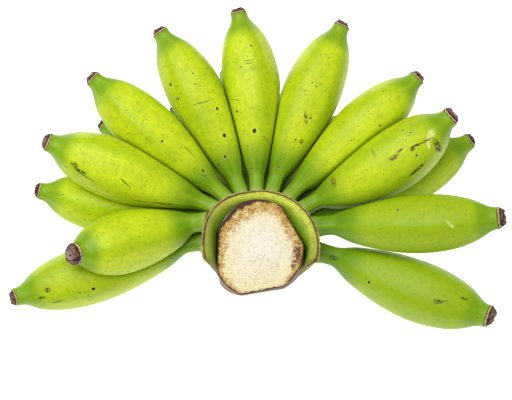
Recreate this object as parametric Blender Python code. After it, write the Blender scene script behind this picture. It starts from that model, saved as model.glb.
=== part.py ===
"""A hand of plump green cooking bananas on its cut crown, lying on a flat surface.

The crown is the piece of stalk that the hand was cut off with. Nineteen fingers grow from its
cushion in two rows: nine upper fingers, and ten lower ones that lie on the surface below and
between them. Each finger grew as one piece with its dried flower end, so it is one solid, and
where two fingers meet they are pressed flat against each other, with a hair's gap.

Metres, +Z up. The origin is on the surface, under the middle of the crown. +Y points to the back
of the hand, where its longest fingers point, and the bare front of the crown faces -Y.
"""
import math
from dataclasses import dataclass

import bmesh
import bpy
import numpy as np

COLLECTION = "banana_hand"

# How far apart touching pieces are kept
PRESS_GAP = 0.0006
ROOT_GAP = 0.0005
SEAT_REACH = 0.009
SEAT_PRECISION = 0.00001

# The crown: a round stalk, and the cushion that wraps round its back and sides
STALK_RADIUS = 0.0285
LEFT_CORNER = 0.0065
LEFT_CORNER_AZIMUTH = -125.0
RIGHT_CORNER = 0.0018
RIGHT_CORNER_AZIMUTH = -42.0
BACK_CORNER = 0.0019
BACK_CORNER_AZIMUTH = 135.0
RIGHT_FLAT = 0.0251
RIGHT_FLAT_AZIMUTH = 32.0
LEFT_FLAT = 0.029
LEFT_FLAT_AZIMUTH = 180.0
WALL_RADIUS = 0.0395
WALL_SWELL = 0.0028
WALL_SWELL_AZIMUTH = 140.0
WALL_SWELL_HALF_ANGLE = 45.0
BASE_RADIUS = 0.027
CUSHION_MIDDLE = 90.0
FOOT_HALF_ANGLE = 98.0
FOOT_FADE = 14.0
RIM_HALF_ANGLE = 121.0
RIM_FADE = 18.0
WALL_FOOT = 0.007
WALL_MIDDLE = 0.024
WALL_TOP = 0.0425
RIM_HEIGHT = 0.0445
RIM_INSET = 0.0012
CREST_HEIGHT = 0.0437
CREST_INSET = 0.0055
GROOVE_HEIGHT = 0.0385
GROOVE_WIDTH = 0.0012
CUT_HEIGHT = 0.046
CUT_SLOPE = 0.35
CUT_BEVEL = 0.0012
FRONT_FACE = 0.0292
FRONT_AZIMUTH = -80.0
FRONT_TOE = 0.008
FRONT_KNEE_HEIGHT = 0.03
CROWN_SEGMENTS = 60
LEAST_FACING = 0.000001

# Where the two rows of fingers leave the cushion, and how they rise
UPPER_ROOT_HEIGHT = 0.036
UPPER_LIFT = 13.0
UPPER_CURL = 16.0
LOWER_ROOT_HEIGHT = 0.018
LOWER_LIFT = 5.0
LOWER_CURL = 20.0

# The shape that every finger shares
GIRTH = 0.039
ROOT_WIDTH = 0.0115
TIP_WIDTH = 0.0105
NECK_END = 0.09
TIP_START = 0.95
FULLEST = 1.23
PLUMPNESS = 0.64
RIDGES = 5
RIDGE_DEPTH = 0.025
ROOT_TURN = 0.55
ROOT_TURN_END = 0.22
COLLAR_AT = 0.962
COLLAR_FLARE = 1.16
NUB_AT = 0.984
NUB_END = 0.72
NUB_HOLLOW = 0.0012
AROUND = 16
BODY_STATIONS = 12
SPINE_STEPS = 60
LEAST_RADIUS = 0.0005
PRESS_STEPS = 16

UPPER_PEEL = (0.46, 0.62, 0.03)
LOWER_PEEL = (0.40, 0.52, 0.03)
PEEL_ROUGHNESS = 0.42
CUT_STALK = (0.62, 0.64, 0.30)
CUT_STALK_ROUGHNESS = 0.7


@dataclass(frozen=True)
class Finger:
    """One finger: angles in degrees anticlockwise from +X in plan, lengths in metres."""

    name: str
    root_azimuth: float
    heading: float
    length: float
    sweep: float = 0.0
    lift: float = UPPER_LIFT
    curl: float = UPPER_CURL
    root_height: float = UPPER_ROOT_HEIGHT
    girth: float = GIRTH
    root_width: float = ROOT_WIDTH
    tip_width: float = TIP_WIDTH
    peel: tuple = UPPER_PEEL


def lower(name, root_azimuth, heading, length, **changes):
    """A finger of the lower row, which lies on the surface."""
    values = {"lift": LOWER_LIFT, "curl": LOWER_CURL, "root_height": LOWER_ROOT_HEIGHT, "peel": LOWER_PEEL}
    values.update(changes)
    return Finger(name, root_azimuth, heading, length, **values)


FINGERS = [
    Finger("upper_finger_1", 153, 201, 0.101, sweep=16, lift=15, curl=58, girth=0.0425, root_width=0.0135,
           tip_width=0.014),
    Finger("upper_finger_2", 138, 162, 0.1255, girth=0.042, root_width=0.0125, tip_width=0.0115),
    Finger("upper_finger_3", 124, 140, 0.128, girth=0.04),
    Finger("upper_finger_4", 109, 117.5, 0.131, sweep=17, girth=0.0395),
    Finger("upper_finger_5", 94, 96, 0.131, sweep=14, girth=0.041),
    Finger("upper_finger_6", 80, 66, 0.131, sweep=-5, girth=0.0405),
    Finger("upper_finger_7", 63, 40.5, 0.126, sweep=-2, girth=0.038),
    Finger("upper_finger_8", 45, 28, 0.1225, sweep=18, lift=17, girth=0.0435, tip_width=0.012),
    Finger("upper_finger_9", 23, -2, 0.128, sweep=4, girth=0.0395, root_width=0.0135, tip_width=0.0135),
    lower("lower_finger_1", 165, 200, 0.139, sweep=3, girth=0.041, root_width=0.0135, tip_width=0.011),
    lower("lower_finger_2", 144, 172, 0.1255, girth=0.041, root_width=0.0155),
    lower("lower_finger_3", 127, 145.5, 0.109, sweep=10, root_width=0.0155),
    lower("lower_finger_4", 114, 122.5, 0.085, sweep=6, girth=0.033, root_width=0.0155),
    lower("lower_finger_5", 100, 100, 0.1, girth=0.036, root_width=0.0155),
    lower("lower_finger_6", 87, 69, 0.11, girth=0.036, root_width=0.0155),
    lower("lower_finger_7", 73, 49, 0.085, girth=0.035, root_width=0.0155),
    lower("lower_finger_8", 58, 36, 0.088, girth=0.036, root_width=0.0155),
    lower("lower_finger_9", 42, 24, 0.134, sweep=14, root_width=0.0155),
    lower("lower_finger_10", 4, -24, 0.1275, girth=0.042, root_width=0.0135, tip_width=0.014),
]


def clear_scene():
    """Removes whatever the file starts with."""
    for thing in list(bpy.data.objects):
        bpy.data.objects.remove(thing, do_unlink=True)


def make_material(name, colour, roughness):
    """A plain Principled material."""
    material = bpy.data.materials.new(name)
    material.use_nodes = True
    shader = material.node_tree.nodes["Principled BSDF"]
    shader.inputs["Base Color"].default_value = (*colour, 1.0)
    shader.inputs["Roughness"].default_value = roughness
    shader.inputs["Metallic"].default_value = 0.0
    return material


def wall_radius(azimuths):
    """The cushion's radius: round, and a little fuller towards the back left."""
    away = np.abs((azimuths - WALL_SWELL_AZIMUTH + 180.0) % 360.0 - 180.0) / WALL_SWELL_HALF_ANGLE
    return WALL_RADIUS + WALL_SWELL * np.cos(np.clip(away, 0.0, 1.0) * math.pi / 2) ** 2


def wall_clearance(points):
    """How far points stand clear of the cushion's wall, over the gap that is kept to it."""
    azimuths = np.degrees(np.arctan2(points[..., 1], points[..., 0]))
    return np.hypot(points[..., 0], points[..., 1]) - wall_radius(azimuths) - ROOT_GAP


def finger_directions(finger, shares):
    """The spine's direction at each share of its length: it leaves the crown half outwards, then bends."""
    heading = finger.heading + finger.sweep * (shares - 0.5)
    first_heading = finger.heading - finger.sweep / 2
    turn = np.clip(1.0 - shares / ROOT_TURN_END, 0.0, 1.0) ** 2
    heading = np.radians(heading + ROOT_TURN * (finger.root_azimuth - first_heading) * turn)
    lift = np.radians(finger.lift + finger.curl * (shares - 0.5))
    flat = np.cos(lift)
    return np.stack([flat * np.cos(heading), flat * np.sin(heading), np.sin(lift)], axis=-1)


def finger_spine(finger):
    """Points along the middle of the finger, evenly spaced, from the cushion's wall to the tip."""
    azimuth = math.radians(finger.root_azimuth)
    reach = float(wall_radius(finger.root_azimuth)) + ROOT_GAP
    root = np.array([reach * math.cos(azimuth), reach * math.sin(azimuth), finger.root_height])
    middles = (np.arange(SPINE_STEPS) + 0.5) / SPINE_STEPS
    steps = finger_directions(finger, middles) * finger.length / SPINE_STEPS
    return np.vstack([root, root + np.cumsum(steps, axis=0)])


def finger_radius(finger, shares):
    """Half the finger's width at each share: slim neck, plump belly past the middle, slim end."""
    slim = np.interp(shares, [0.0, 1.0], [finger.root_width / 2, finger.tip_width / 2])
    along = np.clip((shares - NECK_END) / (TIP_START - NECK_END), 0.0, 1.0)
    swell = np.clip(np.sin(math.pi * along ** FULLEST), 0.0, 1.0) ** PLUMPNESS
    return slim + (finger.girth / 2 - slim) * swell


def ring_shares():
    """Where the rings stand along a finger, closer together where the width changes quickly."""
    turn = np.linspace(0.0, math.pi, BODY_STATIONS + 1)
    body = NECK_END + (TIP_START - NECK_END) * (1.0 - np.cos(turn)) / 2
    return np.concatenate([[0.0, NECK_END / 2], body, [COLLAR_AT, NUB_AT, 1.0]])


def ring_swell(shares):
    """How the dried flower end departs from the plain width: a collar, then a shrunken nub."""
    return np.interp(shares, [TIP_START, COLLAR_AT, NUB_AT, 1.0], [1.0, COLLAR_FLARE, 1.0, NUB_END])


def finger_depth(points, spine, radii):
    """How far each point is outside the plain round finger, negative inside."""
    away = np.linalg.norm(points[..., None, :] - spine, axis=-1)
    return np.min(away - radii, axis=-1)


def press_radius(centres, spokes, radius, own, others):
    """Shortens each spoke until its end is clear of the crown and of every neighbouring finger."""
    low = np.full(radius.shape, LEAST_RADIUS)
    high = radius.copy()
    for _ in range(PRESS_STEPS):
        middle = (low + high) / 2
        points = centres + spokes * middle[..., None]
        limit = wall_clearance(points) + SEAT_PRECISION
        limit = np.where(points[..., 2] > RIM_HEIGHT + ROOT_GAP, WALL_RADIUS, limit)
        depth = finger_depth(points, *own)
        for spine, radii in others:
            limit = np.minimum(limit, finger_depth(points, spine, radii) - depth - PRESS_GAP)
        high = np.where(limit < 0.0, middle, high)
        low = np.where(limit < 0.0, low, middle)
    return np.where(high < radius, low, radius)


def finger_rings(finger, models):
    """The finger's surface points, ring by ring, pressed by its neighbours and by the surface."""
    shares = ring_shares()
    spine, radii = models[finger.name]
    table = np.linspace(0.0, 1.0, SPINE_STEPS + 1)
    centres = np.stack([np.interp(shares, table, spine[:, axis]) for axis in range(3)], axis=-1)
    ahead = finger_directions(finger, shares)
    side = np.cross([0.0, 0.0, 1.0], ahead)
    side /= np.linalg.norm(side, axis=-1, keepdims=True)
    above = np.cross(ahead, side)
    angles = np.arange(AROUND) * 2 * math.pi / AROUND
    sideways = np.cos(angles)[None, :, None] * side[:, None, :]
    upwards = np.sin(angles)[None, :, None] * above[:, None, :]
    spokes = sideways + upwards
    ridge = 1.0 + RIDGE_DEPTH * np.cos(RIDGES * angles + math.radians(finger.root_azimuth))
    radius = (finger_radius(finger, shares) * ring_swell(shares))[:, None] * ridge[None, :]
    others = [models[other.name] for other in FINGERS if other.name != finger.name]
    radius = press_radius(centres[:, None, :], spokes, radius, (spine, radii), others)
    rings = centres[:, None, :] + spokes * radius[..., None]
    rings[0] = seat_on_wall(rings[0], ahead[0])
    rings[..., 2] = np.maximum(rings[..., 2], 0.0)
    return rings, centres[0], centres[-1] - ahead[-1] * NUB_HOLLOW


def seat_on_wall(points, ahead):
    """Slides points along the finger until they stand a hair off the cushion's wall."""
    low = np.full(len(points), -SEAT_REACH)
    high = np.full(len(points), SEAT_REACH)
    for _ in range(PRESS_STEPS):
        middle = (low + high) / 2
        inside = wall_clearance(points + middle[:, None] * ahead) < 0.0
        low = np.where(inside, middle, low)
        high = np.where(inside, high, middle)
    return points + high[:, None] * ahead


def loft(name, rings, base, top, material, collection):
    """A closed body through rings of points: an end face is drawn out from ring to ring."""
    mesh = bpy.data.meshes.new(name)
    body = bmesh.new()
    bmesh.ops.create_circle(body, cap_ends=True, segments=len(rings[0]), radius=WALL_RADIUS)
    face = body.faces[:][0]
    first = [loop.vert for loop in face.loops]
    move_vertices(first, rings[0])
    for ring in rings[1:]:
        face = bmesh.ops.extrude_discrete_faces(body, faces=[face])["faces"][0]
        move_vertices([loop.vert for loop in face.loops], ring)
    foot = body.faces.new(list(reversed(first)))
    for end, middle in ((foot, base), (face, top)):
        poked = bmesh.ops.poke(body, faces=[end])
        poked["verts"][0].co = middle
    bmesh.ops.recalc_face_normals(body, faces=body.faces[:])
    body.to_mesh(mesh)
    body.free()
    mesh.materials.append(material)
    mesh.shade_smooth()
    collection.objects.link(bpy.data.objects.new(name, mesh))


def move_vertices(vertices, ring):
    """Puts the corners of the end face on a ring's points, in order."""
    for vertex, point in zip(vertices, ring):
        vertex.co = point


def smooth_step(share):
    """0 to 1 with level ends."""
    share = np.clip(share, 0.0, 1.0)
    return share * share * (3.0 - 2.0 * share)


def cushion_share(azimuths, height):
    """1 where the cushion wraps the stalk, 0 on its bare front; it wraps further at its rim."""
    away = np.abs((azimuths - CUSHION_MIDDLE + 180.0) % 360.0 - 180.0)
    rise = min(max((height - WALL_FOOT) / (WALL_TOP - WALL_FOOT), 0.0), 1.0)
    half_angle = FOOT_HALF_ANGLE + (RIM_HALF_ANGLE - FOOT_HALF_ANGLE) * rise
    fade = FOOT_FADE + (RIM_FADE - FOOT_FADE) * rise
    return smooth_step((half_angle - away) / fade)


def facing(azimuths, middle):
    """1 at a direction's azimuth, falling to 0 at a quarter turn from it."""
    return np.maximum(np.cos(np.radians(azimuths - middle)), 0.0)


def stalk_outline(azimuths):
    """The stalk's radius: round, with three corners drawn out and a flat on either side."""
    left = LEFT_CORNER * facing(azimuths, LEFT_CORNER_AZIMUTH) ** 2
    right = RIGHT_CORNER * facing(azimuths, RIGHT_CORNER_AZIMUTH) ** 4
    back = BACK_CORNER * facing(azimuths, BACK_CORNER_AZIMUTH) ** 2
    outline = STALK_RADIUS + left + right + back
    for distance, azimuth in ((RIGHT_FLAT, RIGHT_FLAT_AZIMUTH), (LEFT_FLAT, LEFT_FLAT_AZIMUTH)):
        outline = np.minimum(outline, distance / np.maximum(facing(azimuths, azimuth), LEAST_FACING))
    return outline


def front_limit(azimuths, height):
    """The radius at which the upright front face, or the slope under it, trims the crown."""
    knee = np.clip(height / FRONT_KNEE_HEIGHT, 0.0, 1.0)
    front = FRONT_TOE + (FRONT_FACE - FRONT_TOE) * knee
    return front / np.maximum(facing(azimuths, FRONT_AZIMUTH), LEAST_FACING)


def crown_ring(azimuths, radius, height):
    """One level of the crown, trimmed at its front."""
    radians = np.radians(azimuths)
    radius = np.minimum(radius, front_limit(azimuths, height))
    return np.stack([radius * np.cos(radians), radius * np.sin(radians), height], axis=-1)


def cut_height(radius, azimuths):
    """The height of the slanting cut across the stalk."""
    return CUT_HEIGHT + CUT_SLOPE * radius * np.sin(np.radians(azimuths))


def make_crown(collection):
    """The crown, level by level: underside, cushion wall, rim, groove, stalk and slanting cut."""
    azimuths = np.arange(CROWN_SEGMENTS) * 360.0 / CROWN_SEGMENTS
    stalk = stalk_outline(azimuths)
    edge = np.minimum(stalk, front_limit(azimuths, CUT_HEIGHT))
    top = cut_height(edge, azimuths)
    wall = wall_radius(azimuths)
    levels = [(WALL_FOOT, wall), (WALL_MIDDLE, wall), (WALL_TOP, wall), (RIM_HEIGHT, wall - RIM_INSET),
              (CREST_HEIGHT, wall - CREST_INSET), (GROOVE_HEIGHT, stalk + GROOVE_WIDTH)]
    rings = [crown_ring(azimuths, np.minimum(BASE_RADIUS, stalk), np.zeros(CROWN_SEGMENTS))]
    for count, (height, radius) in enumerate(levels):
        share = cushion_share(azimuths, height)
        bare_height = (top - 2 * CUT_BEVEL) * (count + 1) / (len(levels) + 1)
        level_height = share * height + (1.0 - share) * bare_height
        rings.append(crown_ring(azimuths, share * radius + (1.0 - share) * stalk, level_height))
    rings.append(crown_ring(azimuths, edge, top - CUT_BEVEL))
    rings.append(crown_ring(azimuths, edge - CUT_BEVEL, cut_height(edge - CUT_BEVEL, azimuths)))
    stalk_material = make_material("cut_stalk", CUT_STALK, CUT_STALK_ROUGHNESS)
    loft("crown", rings, (0.0, 0.0, 0.0), (0.0, 0.0, CUT_HEIGHT), stalk_material, collection)


def make_fingers(collection):
    """Every finger, each with its own peel."""
    shares = np.linspace(0.0, 1.0, SPINE_STEPS + 1)
    models = {finger.name: (finger_spine(finger), finger_radius(finger, shares)) for finger in FINGERS}
    for finger in FINGERS:
        rings, base, tip = finger_rings(finger, models)
        peel = make_material(finger.name + "_peel", finger.peel, PEEL_ROUGHNESS)
        loft(finger.name, rings, base, tip, peel, collection)


def main():
    """Builds the hand."""
    clear_scene()
    collection = bpy.data.collections.new(COLLECTION)
    bpy.context.scene.collection.children.link(collection)
    make_crown(collection)
    make_fingers(collection)


main()
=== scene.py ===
"""Looks of a hand of plump green cooking bananas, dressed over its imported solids.

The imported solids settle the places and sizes. This script hides each one behind a finer piece: a
peel with its dried flower end for every finger, and a cut crown with its rim, groove, scar and
pale fibrous cut face. Fingers are bent along the same lines as the solids and pressed flat against
each other by the same rule. Metres, +Z up, with the hand lying on z = 0 and its cut face up.
"""
from __future__ import annotations

import logging
import math
from dataclasses import dataclass
from enum import Enum
from functools import partial
from typing import Callable

import bpy
import numpy as np
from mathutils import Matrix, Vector

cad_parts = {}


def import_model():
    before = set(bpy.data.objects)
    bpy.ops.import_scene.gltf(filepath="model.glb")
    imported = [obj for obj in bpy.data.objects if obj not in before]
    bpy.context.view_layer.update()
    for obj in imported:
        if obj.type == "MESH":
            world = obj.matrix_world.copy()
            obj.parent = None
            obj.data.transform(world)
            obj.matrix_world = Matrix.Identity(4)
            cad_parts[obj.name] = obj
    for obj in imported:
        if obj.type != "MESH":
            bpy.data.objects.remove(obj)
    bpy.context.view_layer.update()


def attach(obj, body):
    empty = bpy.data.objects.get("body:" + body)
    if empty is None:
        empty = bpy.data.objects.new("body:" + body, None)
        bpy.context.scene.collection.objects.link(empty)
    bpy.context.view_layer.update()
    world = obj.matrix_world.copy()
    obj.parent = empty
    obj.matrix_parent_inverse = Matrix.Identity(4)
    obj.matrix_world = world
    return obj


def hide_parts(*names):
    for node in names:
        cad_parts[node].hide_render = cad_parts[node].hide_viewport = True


LOG = logging.getLogger("banana_hand")
BODY = "root"
MM = 0.001
TINY = 1e-6
ROOT_GAP = 0.5 * MM
Socket = bpy.types.NodeSocket
Adder = Callable[..., Socket]
Triple = tuple[float, float, float]
Rows = tuple[tuple[float, ...], ...]

# The photograph's view: degrees above the horizon, then the distance, the lens and the place aimed at
CAMERA_ELEVATION = 72.0
CAMERA_DISTANCE = 0.900
CAMERA_LENS_MM = 92.5
CAMERA_TARGET = (-0.0034, 0.0324, 0.044)


def srgb(code: str) -> tuple[float, float, float, float]:
    """Turns an sRGB hex colour into the linear colour that a shader takes.

    Args:
        code: six hex digits, with or without a leading mark.

    Returns:
        Linear red, green, blue and an alpha of 1.
    """
    code = code.lstrip("#")
    channels = [int(code[at:at + 2], 16) / 255.0 for at in (0, 2, 4)]
    linear = [c / 12.92 if c <= 0.04045 else ((c + 0.055) / 1.055) ** 2.4 for c in channels]
    return (*linear, 1.0)


def add_node(tree: bpy.types.NodeTree, kind: str, *values: object, out: str = "",
             stops: tuple[tuple[float, str], ...] = (), named: dict[str, object] | None = None,
             **settings: object) -> Socket:
    """Adds one node with its settings and links.

    Args:
        tree: the node tree that the node joins.
        kind: the node's type, less the prefix that all of them share.
        values: what goes into its live sockets in order: a number, a vector, a hex colour or a socket,
            or None to leave a socket as it is.
        out: the output that is wanted. Without it, the first live one is.
        stops: the places and hex colours of a ramp, which are blended with rounded steps.
        named: what goes into sockets by name.
        settings: the node's own options.

    Returns:
        The output.
    """
    node = tree.nodes.new("ShaderNode" + kind)
    for name, value in settings.items():
        setattr(node, name, value)
    live = [socket for socket in node.inputs if socket.enabled]
    pairs = list(zip(live, values)) + [(node.inputs[name], value) for name, value in (named or {}).items()]
    for socket, value in pairs:
        if isinstance(value, Socket):
            tree.links.new(value, socket)
        elif value is not None:
            socket.default_value = srgb(value) if isinstance(value, str) else value
    if stops:
        node.color_ramp.interpolation = "EASE"
        while len(node.color_ramp.elements) < len(stops):
            node.color_ramp.elements.new(1.0)
        for element, (place, code) in zip(node.color_ramp.elements, stops):
            element.position = place
            element.color = srgb(code)
    return node.outputs[out] if out else next(socket for socket in node.outputs if socket.enabled)


def new_material(name: str) -> tuple[bpy.types.Material, Adder]:
    """Makes a material with a Principled shader.

    Args:
        name: the finish's name.

    Returns:
        The material, and the function that adds nodes to its tree.
    """
    material = bpy.data.materials.new(name)
    material.use_nodes = True
    return material, partial(add_node, material.node_tree)


def finish_material(material: bpy.types.Material, colour: Socket, height: Socket, depth: float,
                    strength: float, roughness: float, ior: float = 1.45) -> None:
    """Gives a material's shader its colour, relief and gloss.

    Args:
        material: the material.
        colour: the base colour.
        height: the relief.
        depth: the relief's depth, in metres.
        strength: how strongly the relief shows.
        roughness: the shader's roughness.
        ior: the shader's index of refraction.
    """
    tree = material.node_tree
    inputs = tree.nodes["Principled BSDF"].inputs
    relief = add_node(tree, "Bump", named={"Height": height, "Strength": strength, "Distance": depth})
    tree.links.new(colour, inputs["Base Color"])
    tree.links.new(relief, inputs["Normal"])
    inputs["Roughness"].default_value = roughness
    inputs["IOR"].default_value = ior


def per_metre(size_mm: float) -> float:
    """The scale of a pattern whose parts are so many millimetres wide."""
    return 1.0 / (size_mm * MM)


class Blemish(Enum):
    """The kinds of mark that the peel carries."""

    FLECK = "fleck"
    SCAR = "scar"
    RUST = "rust"
    SCUFF = "scuff"
    SCRATCH = "scratch"


@dataclass(frozen=True)
class Mark:
    """One mark on a peel.

    along is the share of the finger's length from its root. around is the angle in degrees from
    the finger's left side over its top. length and width are in metres, and turn is the angle in
    degrees of the mark's long side from the finger's own line.
    """

    kind: Blemish
    along: float
    around: float
    length: float
    width: float
    turn: float = 0.0


def fleck(along: float, around: float, size: float = 1.5) -> Mark:
    """A small black dot in a pale halo, its size in millimetres."""
    return Mark(Blemish.FLECK, along, around, size * MM, 0.8 * size * MM)


def worn_patch(kind: Blemish, along: float, around: float, length: float, width: float,
               turn: float = 0.0) -> Mark:
    """A worn patch of one kind, its sizes in millimetres."""
    return Mark(kind, along, around, length * MM, width * MM, turn)


# A dark dried patch, a light brown rubbed one, and one where the wax is rubbed pale
scar = partial(worn_patch, Blemish.SCAR)
rust = partial(worn_patch, Blemish.RUST)
scuff = partial(worn_patch, Blemish.SCUFF)


def scratch(along: float, around: float, length: float, turn: float, width: float = 0.6) -> Mark:
    """A thin dry line, its sizes in millimetres."""
    return Mark(Blemish.SCRATCH, along, around, length * MM, width * MM, turn)


@dataclass(frozen=True)
class FingerPlan:
    """Where one finger grows and how it lies: the same values as its solid, with what marks its peel.

    Angles are in degrees, anticlockwise from +X in plan, and lengths in metres. ripeness runs from
    0, dull dark green, to 1, bright yellow green. A painted neck shadow darkens the neck nearly to black,
    standing for the shade that its neighbours cast on it.
    """

    node: str
    root_azimuth: float
    heading: float
    length: float
    sweep: float = 0.0
    lift: float = 13.0
    curl: float = 16.0
    root_height: float = 0.036
    girth: float = 0.039
    root_width: float = 0.0115
    tip_width: float = 0.0105
    ripeness: float = 0.8
    deep_neck: bool = False
    marks: tuple[Mark, ...] = ()


def upper(number: int, root_azimuth: float, heading: float, length: float, **changes: object) -> FingerPlan:
    """A finger of the upper row, numbered from the left."""
    return FingerPlan(f"upper_finger_{number}", root_azimuth, heading, length, **changes)


LOWER_ROW = {"lift": 5.0, "curl": 20.0, "root_height": 0.018, "ripeness": 0.55}


def lower(number: int, root_azimuth: float, heading: float, length: float, **changes: object) -> FingerPlan:
    """A finger of the lower row, which lies on the surface, numbered from the left."""
    return FingerPlan(f"lower_finger_{number}", root_azimuth, heading, length, **(LOWER_ROW | changes))


def inner(number: int, root_azimuth: float, heading: float, length: float, **changes: object) -> FingerPlan:
    """A short finger of the lower row, between its neighbours under the upper row, with painted shadow on
    its neck.
    """
    return lower(number, root_azimuth, heading, length, root_width=0.0155, deep_neck=True, **changes)


FINGERS = [
    upper(1, 153, 201, 0.101, sweep=16, lift=15, curl=58, girth=0.0425, root_width=0.0135, tip_width=0.014,
          ripeness=0.85, marks=(fleck(0.35, 72, 0.9), fleck(0.81, 33, 1.0))),
    upper(2, 138, 162, 0.1255, girth=0.042, root_width=0.0125, tip_width=0.0115, ripeness=1.0,
          marks=(scar(0.81, 48, 5, 3.2), scar(0.765, 43, 9, 1.5, -2), scratch(0.735, 38, 15, 3, 0.9),
                 scratch(0.515, 57, 8.5, 22, 0.9),
                 rust(0.27, 32, 16, 1.8, -3), rust(0.40, 25, 9, 1.2, -3))),
    upper(3, 124, 140, 0.128, girth=0.04, ripeness=1.0,
          marks=(fleck(0.465, 78, 1.7), fleck(0.195, 96, 2.0), fleck(0.17, 86, 1.6),
                 scratch(0.32, 106, 9.5, -3), scar(0.62, 45, 4, 1, -15))),
    upper(4, 109, 117.5, 0.131, sweep=17, girth=0.0395, ripeness=0.85,
          marks=(fleck(0.7, 36, 2.5), fleck(0.61, 38, 2.2), fleck(0.46, 107, 2.1), fleck(0.315, 99, 2.7),
                 fleck(0.21, 78, 2.0), fleck(0.19, 41, 1.8), fleck(0.69, 95, 1.2), fleck(0.63, 88, 1.2),
                 fleck(0.515, 108, 1.0), scratch(0.525, 81, 12, -78))),
    upper(5, 94, 96, 0.131, sweep=14, girth=0.041, ripeness=0.9,
          marks=(fleck(0.315, 88, 3.0), fleck(0.43, 53, 1.6), fleck(0.78, 101, 1.4), fleck(0.67, 73, 1.2),
                 fleck(0.125, 63, 1.3), fleck(0.095, 63, 1.0), scratch(0.7, 90, 6, -89),
                 scratch(0.685, 90, 5, -84), scratch(0.495, 53, 7.5, -75),
                 scratch(0.27, 119, 6, -50, 0.7))),
    upper(6, 80, 66, 0.131, sweep=-5, girth=0.0405, ripeness=0.85,
          marks=(rust(0.305, 122, 3, 2.4), rust(0.3, 107, 2.8, 1.4), fleck(0.44, 116, 1.6),
                 rust(0.43, 107, 8, 2.2, -30), fleck(0.62, 90, 1.0), fleck(0.61, 101, 1.2),
                 fleck(0.63, 96, 0.9), fleck(0.14, 89, 1.2), fleck(0.18, 87, 0.9), fleck(0.565, 84, 1.0),
                 fleck(0.675, 69, 1.0), fleck(0.61, 122, 1.0))),
    upper(7, 63, 40.5, 0.126, sweep=-2, girth=0.038, ripeness=0.9,
          marks=(fleck(0.645, 124, 1.6), fleck(0.79, 69, 1.0), fleck(0.75, 56, 1.0),
                 fleck(0.47, 106, 1.0))),
    upper(8, 45, 28, 0.1225, sweep=18, lift=17, girth=0.0435, tip_width=0.012, ripeness=0.7,
          marks=(scuff(0.84, 106, 6, 4.5, -35), scuff(0.8, 118, 7, 2, -60), rust(0.6, 102, 6.5, 3),
                 rust(0.65, 97, 5, 1.5, -6), rust(0.23, 75, 7, 3.2, -74), scar(0.765, 108, 15, 1.6, 12),
                 scar(0.715, 108, 3.5, 2.4), scratch(0.515, 75, 6, -84), fleck(0.71, 122, 1.6),
                 scar(0.83, 142, 11, 4, -82), scar(0.67, 146, 12, 2.6, -4), fleck(0.73, 65, 1.2),
                 fleck(0.76, 78, 1.2))),
    upper(9, 23, -2, 0.128, sweep=4, girth=0.0395, root_width=0.0135, tip_width=0.0135, ripeness=0.1,
          marks=(fleck(0.46, 76, 1.7), fleck(0.34, 57, 1.0), fleck(0.2, 74, 1.2),
                 scuff(0.74, 112, 6, 1.6, 47))),
    lower(1, 165, 200, 0.139, sweep=3, girth=0.041, root_width=0.0135, tip_width=0.011, ripeness=0.5,
          marks=(fleck(0.61, 45, 2.5), scar(0.83, 66, 3.6, 2.8), scar(0.865, 48, 4.5, 1.6, -9),
                 scar(0.8, 32, 5.5, 1.7, -6), fleck(0.68, 44, 1.2), fleck(0.18, 34, 1.6))),
    lower(2, 144, 172, 0.1255, girth=0.041, root_width=0.0155, ripeness=1.0,
          marks=(fleck(0.85, 75, 1.0), fleck(0.76, 71, 0.9))),
    inner(3, 127, 145.5, 0.109, sweep=10),
    inner(4, 114, 122.5, 0.085, sweep=6, girth=0.033),
    inner(5, 100, 100, 0.1, girth=0.036),
    inner(6, 87, 69, 0.11, girth=0.036),
    inner(7, 73, 49, 0.085, girth=0.035),
    inner(8, 58, 36, 0.088, girth=0.036),
    lower(9, 42, 24, 0.134, sweep=14, root_width=0.0155, ripeness=0.6,
          marks=(fleck(0.8, 60, 1.0),)),
    lower(10, 4, -24, 0.1275, girth=0.042, root_width=0.0135, tip_width=0.014, ripeness=0.0,
          marks=(fleck(0.325, 131, 2.1), scar(0.087, 116, 5.5, 3), scar(0.72, 113, 5.5, 2.8, -10),
                 scratch(0.75, 108, 5, -29, 0.8), scar(0.845, 83, 5, 1.6, -13))),
]


def smooth_step(share: np.ndarray) -> np.ndarray:
    """0 to 1 with level ends."""
    share = np.clip(share, 0.0, 1.0)
    return share * share * (3.0 - 2.0 * share)


def away_from(azimuths: np.ndarray, middle: float) -> np.ndarray:
    """How many degrees azimuths stand from a middle one, the short way round."""
    return np.abs((azimuths - middle + 180.0) % 360.0 - 180.0)


def ripple(angles: np.ndarray, shares: np.ndarray, seed: int, terms: int = 5) -> np.ndarray:
    """A gentle uneven swell over a round shape, between about -1 and 1.

    Args:
        angles: angle round the shape, in radians.
        shares: share of the way along it.
        seed: settles the draw.
        terms: how many waves are added.

    Returns:
        The swell at each point.
    """
    draw = np.random.default_rng(seed)
    total = np.zeros(np.broadcast(angles, shares).shape)
    for wave in range(1, terms + 1):
        phase = draw.uniform(0.0, 4 * math.pi)
        twist = 2 * math.pi * draw.uniform(0.3, 1.6)
        total = total + np.sin(wave * (angles + twist * shares) + phase) / wave
    return total / 2.0


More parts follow.
